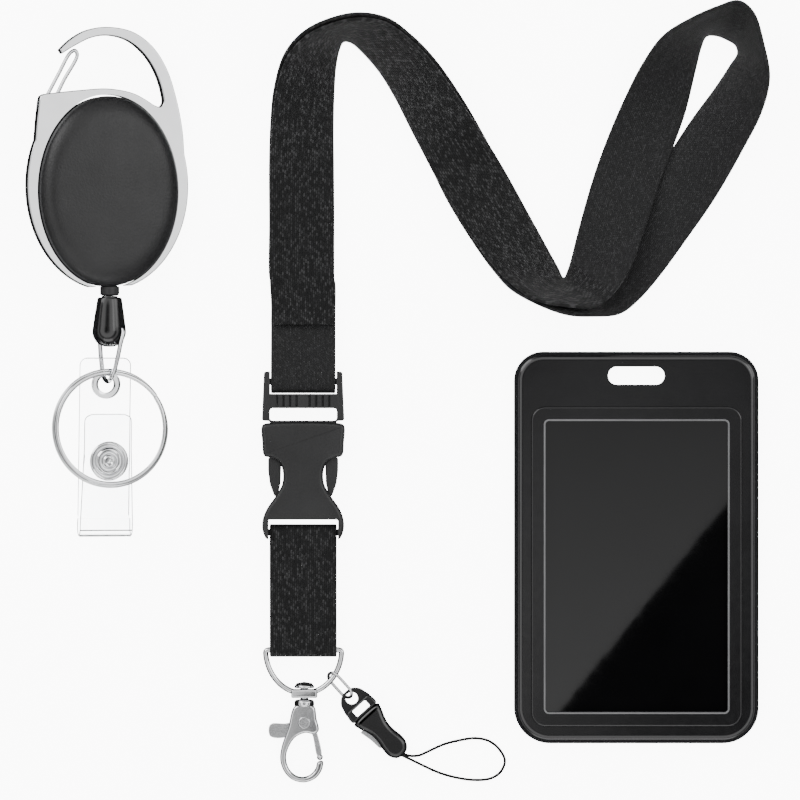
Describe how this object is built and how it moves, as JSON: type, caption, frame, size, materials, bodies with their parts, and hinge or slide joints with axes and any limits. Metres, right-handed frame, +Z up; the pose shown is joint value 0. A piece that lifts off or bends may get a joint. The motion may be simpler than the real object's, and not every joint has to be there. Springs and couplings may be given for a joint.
{
  "type": "lanyard badge holder",
  "caption": "Neck lanyard with buckle, swivel hook and phone loop, a retractable badge reel on a carabiner frame, and a rigid card holder.",
  "frame": {"origin": "centre of the layout's footprint, on the table", "axes": "+Z up from the table; +Y from the hooks towards the neck loop; +X towards the card holder"},
  "size_m": [0.2159, 0.2274, 0.0216],
  "materials": {
    "webbing": "woven polyester webbing",
    "cord": "braided cord",
    "matte_plastic": "fine moulded grain",
    "gloss_plastic": "polished black",
    "chrome": "polished",
    "steel": "plain",
    "clear_vinyl": "clear flexible vinyl",
    "window": "clear panel over black, polished"
  },
  "bodies": {
    "neck_lanyard": {"neck_strap": "webbing", "buckle_male_frame": "matte_plastic"},
    "right_prong": {"prong_right": "matte_plastic"},
    "left_prong": {"prong_left": "matte_plastic"},
    "female_buckle": {"buckle_female_half": "matte_plastic", "short_strap": "webbing"},
    "dring": {"d_ring": "chrome"},
    "hook": {"hook_body": "chrome", "gate_rivet": "steel", "gate_spring": "steel"},
    "gate": {"hook_gate": "steel"},
    "small_link": {"connector_link": "chrome"},
    "connector_top": {"connector_upper": "gloss_plastic"},
    "connector_bottom": {"connector_lower": "gloss_plastic", "phone_loop": "cord"},
    "connector_latch": {"latch_tab": "steel"},
    "reel": {"case_front": "matte_plastic", "case_back": "matte_plastic", "reel_frame": "chrome", "reel_axle": "matte_plastic", "clip_rivet": "steel", "cord_ferrule": "matte_plastic", "return_spring": "steel", "reel_cord": "cord"},
    "spool": {"cord_spool": "gloss_plastic", "wound_cord": "cord"},
    "reel_gate": {"carabiner_gate": "chrome"},
    "clip": {"belt_clip": "steel"},
    "pull": {"cord_end": "gloss_plastic", "wire_link": "chrome"},
    "key_ring": {"split_ring": "chrome"},
    "snap_strap": {"snap_strap_back": "clear_vinyl", "eyelet": "chrome", "snap_stud": "chrome"},
    "snap_flap": {"snap_strap_flap": "clear_vinyl", "snap_cap": "chrome", "snap_socket": "chrome"},
    "holder_rear": {"holder_back": "gloss_plastic"},
    "holder_face": {"holder_front": "gloss_plastic", "holder_window": "window"}
  },
  "joints": [
    {"name": "prong_squeeze", "type": "hinge", "parent": "neck_lanyard", "child": "right_prong", "pos_m": [-0.01996, -0.0109, 0.0045], "axis": [0, 0, -1], "range_deg": [0, 6], "stiffness_Nm_per_rad": 0.1},
    {"name": "prong_squeeze_left", "type": "hinge", "parent": "neck_lanyard", "child": "left_prong", "pos_m": [-0.03536, -0.0109, 0.0045], "axis": [0, 0, 1], "range_deg": [0, 6], "stiffness_Nm_per_rad": 0.1},
    {"name": "buckle_release", "type": "slide", "parent": "neck_lanyard", "child": "female_buckle", "axis": [0, -1, 0], "range_m": [0, 0.03]},
    {"name": "dring_swing", "type": "hinge", "parent": "female_buckle", "child": "dring", "pos_m": [-0.02756, -0.0751, 0.003], "axis": [1, 0, 0], "range_deg": [-75, 75]},
    {"name": "hook_swivel", "type": "hinge", "parent": "dring", "child": "hook", "pos_m": [-0.02736, -0.0883, 0.003], "axis": [0, 1, 0], "continuous": true},
    {"name": "gate_open", "type": "hinge", "parent": "hook", "child": "gate", "pos_m": [-0.02736, -0.0963, 0.0034], "axis": [0, 0, -1], "range_deg": [0, 22], "stiffness_Nm_per_rad": 0.02},
    {"name": "link_swing", "type": "hinge", "parent": "dring", "child": "small_link", "pos_m": [-0.01897, -0.0832, 0.003], "axis": [-0.585, -0.811, 0], "range_deg": [-15, 15]},
    {"name": "connector_swing", "type": "hinge", "parent": "small_link", "child": "connector_top", "pos_m": [-0.0139, -0.0888, 0.003], "axis": [0.7408, 0.6717, 0], "range_deg": [-8, 8]},
    {"name": "connector_release", "type": "slide", "parent": "connector_top", "child": "connector_bottom", "axis": [0.6717, -0.7408, 0], "range_m": [0, 0.014]},
    {"name": "latch_press", "type": "hinge", "parent": "connector_bottom", "child": "connector_latch", "pos_m": [-0.0039, -0.10369, 0.003], "axis": [0, 0, -1], "range_deg": [0, 6], "stiffness_Nm_per_rad": 0.01},
    {"name": "reel_lift", "type": "slide", "parent": "neck_lanyard", "child": "reel", "axis": [0, 0, 1], "range_m": [0, 0.04]},
    {"name": "cord_pull", "type": "slide", "parent": "reel", "child": "pull", "axis": [0, -1, 0], "range_m": [0, 0.6], "stiffness_N_per_m": 1.5},
    {"name": "spool_turn", "type": "hinge", "parent": "reel", "child": "spool", "pos_m": [-0.08456, 0.0583, 0.01095], "axis": [0.2924, 0, 0.9563], "range_deg": [0, 2520]},
    {"name": "reel_gate_open", "type": "hinge", "parent": "reel", "child": "reel_gate", "pos_m": [-0.10197, 0.0829, 0.01627], "axis": [-0.2924, 0, -0.9563], "range_deg": [0, 25], "stiffness_Nm_per_rad": 0.02},
    {"name": "clip_swivel", "type": "hinge", "parent": "reel", "child": "clip", "pos_m": [-0.08602, 0.0583, 0.00617], "axis": [0.2924, 0, 0.9563], "continuous": true},
    {"name": "strap_swing", "type": "hinge", "parent": "pull", "child": "snap_strap", "pos_m": [-0.08445, 0.00317, 0.00996], "axis": [0.9563, 0, -0.2924], "range_deg": [-5, 5]},
    {"name": "flap_open", "type": "hinge", "parent": "snap_strap", "child": "snap_flap", "pos_m": [-0.08555, -0.03642, 0.00704], "axis": [0.9563, 0, -0.2924], "range_deg": [0, 30]},
    {"name": "ring_lift", "type": "hinge", "parent": "snap_strap", "child": "key_ring", "pos_m": [-0.08364, 0.00575, 0.01122], "axis": [0.9563, 0, -0.2924], "range_deg": [-30, 0]},
    {"name": "holder_lift", "type": "slide", "parent": "neck_lanyard", "child": "holder_rear", "axis": [0, 0, 1], "range_m": [0, 0.04]},
    {"name": "holder_slide", "type": "slide", "parent": "holder_rear", "child": "holder_face", "axis": [0, -1, 0], "range_m": [0, 0.088]}
  ],
  "couplings": [
    {"joint": "prong_squeeze_left", "follows": "prong_squeeze", "ratio": 1},
    {"joint": "spool_turn", "follows": "cord_pull", "rad_per_m": 73},
    {"joint": "ring_lift", "follows": "flap_open", "ratio": -1}
  ]
}
